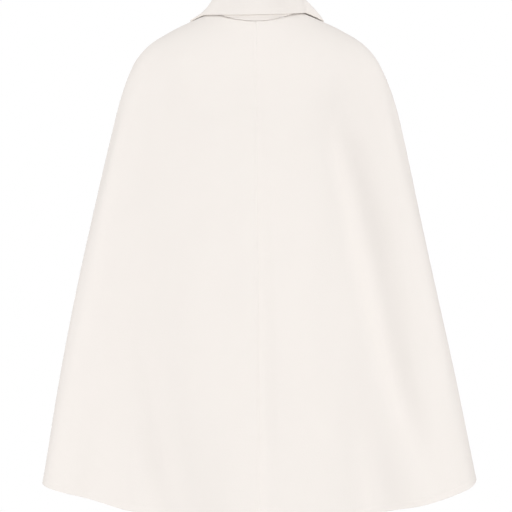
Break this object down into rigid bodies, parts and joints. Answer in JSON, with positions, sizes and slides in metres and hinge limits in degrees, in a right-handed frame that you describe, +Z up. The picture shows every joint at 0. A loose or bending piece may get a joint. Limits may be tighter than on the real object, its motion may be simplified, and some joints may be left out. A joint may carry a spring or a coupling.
{
  "type": "cape",
  "caption": "Cream wool cape with a turned-down collar, a centre back seam, buttoned lapped fronts and a flared hem, hanging hollow as it is worn.",
  "frame": {"origin": "middle of the neck, level with the neck ends of the shoulder seams, where the wearer holds the cape up", "axes": "+Z up; the wearer faces -Y, so the back of the cape is towards +Y; +X is the wearer's left"},
  "size_m": [0.7361, 0.4862, 0.8774],
  "materials": {
    "back_left": "double-faced wool, cream, lightly brushed",
    "back_right": "double-faced wool, cream, lightly brushed",
    "front_left": "double-faced wool, cream, lightly brushed",
    "front_right": "double-faced wool, cream, lightly brushed",
    "collar_stand": "double-faced wool, cream, lightly brushed",
    "collar_fall": "double-faced wool, cream, lightly brushed",
    "button_1": "horn-like resin, satin",
    "button_2": "horn-like resin, satin",
    "button_3": "horn-like resin, satin"
  },
  "bodies": {
    "root": {"back_left": "back_left", "back_right": "back_right", "front_left": "front_left", "front_right": "front_right", "collar_stand": "collar_stand", "collar_fall": "collar_fall", "button_1": "button_1", "button_2": "button_2", "button_3": "button_3"}
  },
  "joints": []
}
